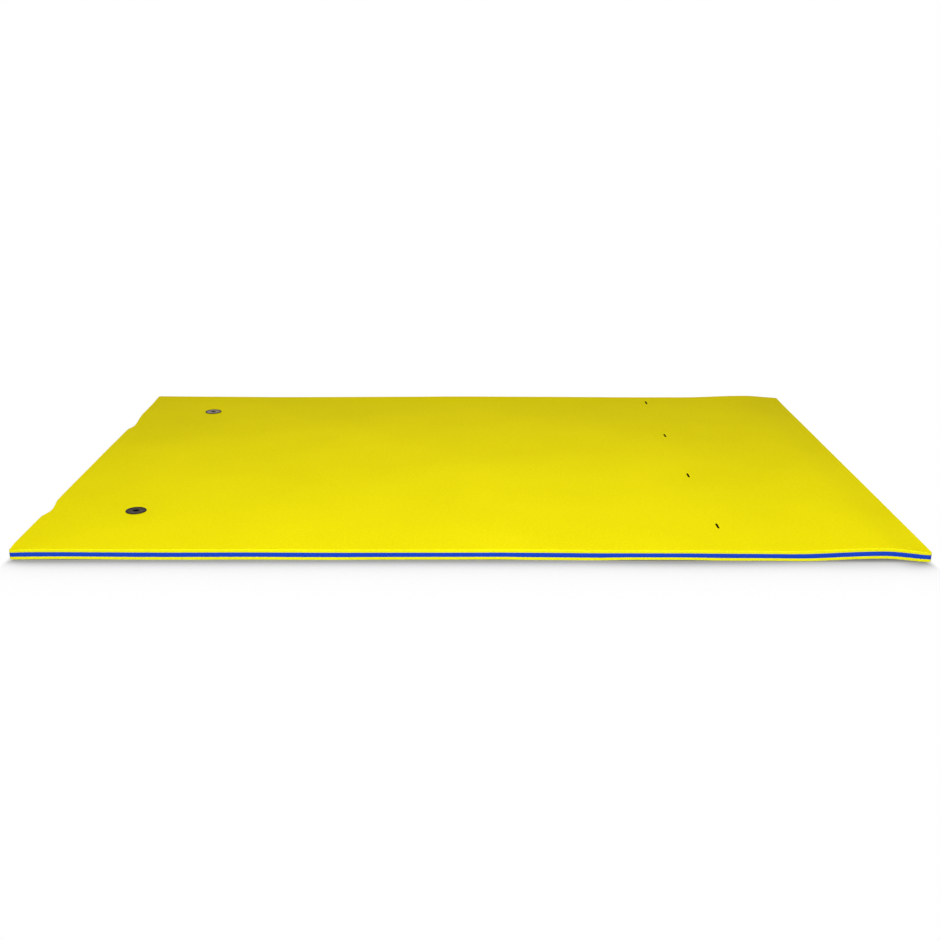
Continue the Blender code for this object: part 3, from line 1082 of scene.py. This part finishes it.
def studio_paper(paper):
    """White background paper: matt, white to the camera, with the object's shadow in front."""
    material, tree = new_material("background_paper")
    place = add_node(tree, "ShaderNodeTexCoord").outputs["Object"]
    x, y, _ = add_node(tree, "ShaderNodeSeparateXYZ", {"Vector": place}).outputs
    across = add_node(tree, "ShaderNodeMath", {0: x}, operation="ABSOLUTE").outputs[0]
    *easing, beside, behind = (
        add_node(
            tree,
            "ShaderNodeMapRange",
            {"Value": value, "From Min": none, "From Max": full},
            interpolation_type="SMOOTHSTEP",
        ).outputs[0]
        for value, none, full in (
            (x, 0.68, 1.25),
            (x, 1.36, 1.25),
            (y, FRONT + 0.01, FRONT - 0.034),
            (across, RIGHT - 0.022, RIGHT + 0.013),
            (y, BACK + 0.01, BACK + 0.12),
        )
    )
    # Lighter before the lifted part of the front edge, where the shadow is as narrow as elsewhere
    kept = -0.53
    for operation, other in (*(("MULTIPLY", ramp) for ramp in easing), ("ADD", 1.0)):
        kept = add_node(tree, "ShaderNodeMath", {0: kept, 1: other}, operation=operation).outputs[0]
    # White where the object hides little of the studio, and close beside and behind the mat
    around = add_node(tree, "ShaderNodeAmbientOcclusion", {"Distance": 0.3}, samples=24)
    share = add_node(
        tree,
        "ShaderNodeMapRange",
        {"Value": around.outputs["AO"], "From Min": 0.964, "From Max": 0.673, "To Max": 0.8},
    ).outputs[0]
    for operation, other in (
        ("POWER", 0.55),
        ("MULTIPLY", kept),
        ("MULTIPLY", -1.0),
        ("ADD", 1.0),
        ("MAXIMUM", beside),
        ("MAXIMUM", behind),
        ("MULTIPLY", seen_share(tree)),
    ):
        share = add_node(
            tree, "ShaderNodeMath", {0: share, 1: other}, operation=operation
        ).outputs[0]
    matt = add_node(tree, "ShaderNodeBsdfDiffuse", {"Color": (*paper, 1)})
    white = add_node(tree, "ShaderNodeEmission", {"Color": (1, 1, 1, 1), "Strength": 1.0})
    mixed = add_node(
        tree, "ShaderNodeMixShader", {0: share, 1: matt.outputs[0], 2: white.outputs[0]}
    )
    add_node(tree, "ShaderNodeOutputMaterial", {"Surface": mixed.outputs[0]})
    return material


def studio_world(ambient):
    """White to the camera and in reflections, and a soft even light for the rest."""
    world = bpy.data.worlds.new("studio_world")
    world.use_nodes = True
    tree = world.node_tree
    tree.nodes.clear()
    soft, white = (
        add_node(tree, "ShaderNodeBackground", {"Color": (1, 1, 1, 1), "Strength": strength})
        for strength in (ambient, 1.0)
    )
    mixed = add_node(
        tree, "ShaderNodeMixShader", {0: seen_share(tree), 1: soft.outputs[0], 2: white.outputs[0]}
    )
    add_node(tree, "ShaderNodeOutputWorld", {"Surface": mixed.outputs[0]})
    return world


def add_lamp(name, place, target, size, power, colour):
    """A softbox at place that faces target, hidden from the camera."""
    light = bpy.data.lights.new(name, "AREA")
    light.color = colour
    light.shape = "RECTANGLE"
    light.size, light.size_y = size
    light.energy = power
    lamp = bpy.data.objects.new(name, light)
    lamp.location = place
    direction = Vector(target) - Vector(place)
    lamp.rotation_euler = direction.to_track_quat("-Z", "Y").to_euler()
    lamp.visible_camera = False
    bpy.context.scene.collection.objects.link(lamp)


class FOAMMAT_OT_stage(bpy.types.Operator):
    """Makes the paper floor, the lamps, the world and the camera"""

    bl_idname = "foam_mat.stage"
    bl_label = "Studio"

    def execute(self, context):
        stage = context.scene.foam_mat_stage
        mesh = bpy.data.meshes.new("studio_floor")
        reach = 40
        mesh.from_pydata(
            [(-reach, -reach, 0), (reach, -reach, 0), (reach, reach, 0), (-reach, reach, 0)],
            [],
            [(0, 1, 2, 3)],
        )
        mesh.materials.append(studio_paper(stage.paper))
        floor = add_piece("studio_floor", mesh)
        white = (1, 1, 1)
        faint_rose = (1, 0.975, 1)
        warm = (1, 0.68, 0.66)
        # Each lamp's name, place, target, size, power and colour
        for lamp in (
            ("key_softbox", (0, -4.4, 1.33), (0, -0.6, 0), (5.2, 0.9), stage.key, faint_rose),
            ("rear_bank", (0, 17, 13.5), (0, -1, 0), (18, 10), stage.rear, warm),
            ("low_fill", (0, 7.4, 1), (0, 0, 0), (14, 1.2), stage.fill, warm),
            ("overhead_softbox", (0, -1.2, 3.4), (0, -0.9, 0), (4, 1.6), stage.overhead, white),
        ):
            add_lamp(*lamp)
        context.scene.world = studio_world(stage.ambient)
        context.scene.view_settings.view_transform = "Standard"
        self.add_camera(context.scene, stage.lens)
        return {"FINISHED"}

    @staticmethod
    def add_camera(scene, lens):
        """The photograph's viewpoint, from a fit of the mat's corners and edges."""
        data = bpy.data.cameras.new("photo_camera")
        data.lens = lens
        data.sensor_width = 36
        camera = bpy.data.objects.new("photo_camera", data)
        yaw = Matrix.Rotation(math.radians(-0.281), 4, "Z")
        pitch = Matrix.Rotation(math.radians(90 - 17.799), 4, "X")
        roll = Matrix.Rotation(math.radians(0.154), 4, "Z")
        camera.matrix_world = Matrix.Translation((-0.016, -4.1945, 1.3354)) @ yaw @ pitch @ roll
        scene.collection.objects.link(camera)
        scene.camera = camera


class FOAMMAT_PT_panel(bpy.types.Panel):
    """Lists the mat's sizes, colours and operators."""

    bl_label = "Foam mat"
    bl_idname = "FOAMMAT_PT_panel"
    bl_space_type = "VIEW_3D"
    bl_region_type = "UI"
    bl_category = "Foam mat"

    def draw(self, context):
        layout = self.layout
        scene = context.scene
        for group in (scene.foam_mat_sizes, scene.foam_mat_finish, scene.foam_mat_stage):
            box = layout.box()
            for name in group.bl_rna.properties.keys():
                if name not in ("rna_type", "name"):
                    box.prop(group, name)
        for operator in OPERATORS:
            layout.operator(operator.bl_idname)


GROUPS = {
    "foam_mat_sizes": FOAMMAT_PG_sizes,
    "foam_mat_finish": FOAMMAT_PG_finish,
    "foam_mat_stage": FOAMMAT_PG_stage,
}
OPERATORS = (FOAMMAT_OT_sheets, FOAMMAT_OT_grommets, FOAMMAT_OT_stage)
CLASSES = (*GROUPS.values(), *OPERATORS, FOAMMAT_PT_panel)


def register():
    for item in CLASSES:
        bpy.utils.register_class(item)
    for name, group in GROUPS.items():
        setattr(bpy.types.Scene, name, PointerProperty(type=group))


def unregister():
    for name in GROUPS:
        delattr(bpy.types.Scene, name)
    for item in reversed(CLASSES):
        bpy.utils.unregister_class(item)


def main():
    register()
    bpy.ops.foam_mat.sheets()
    bpy.ops.foam_mat.grommets()
    bpy.ops.foam_mat.stage()


if __name__ == "__main__":
    main()
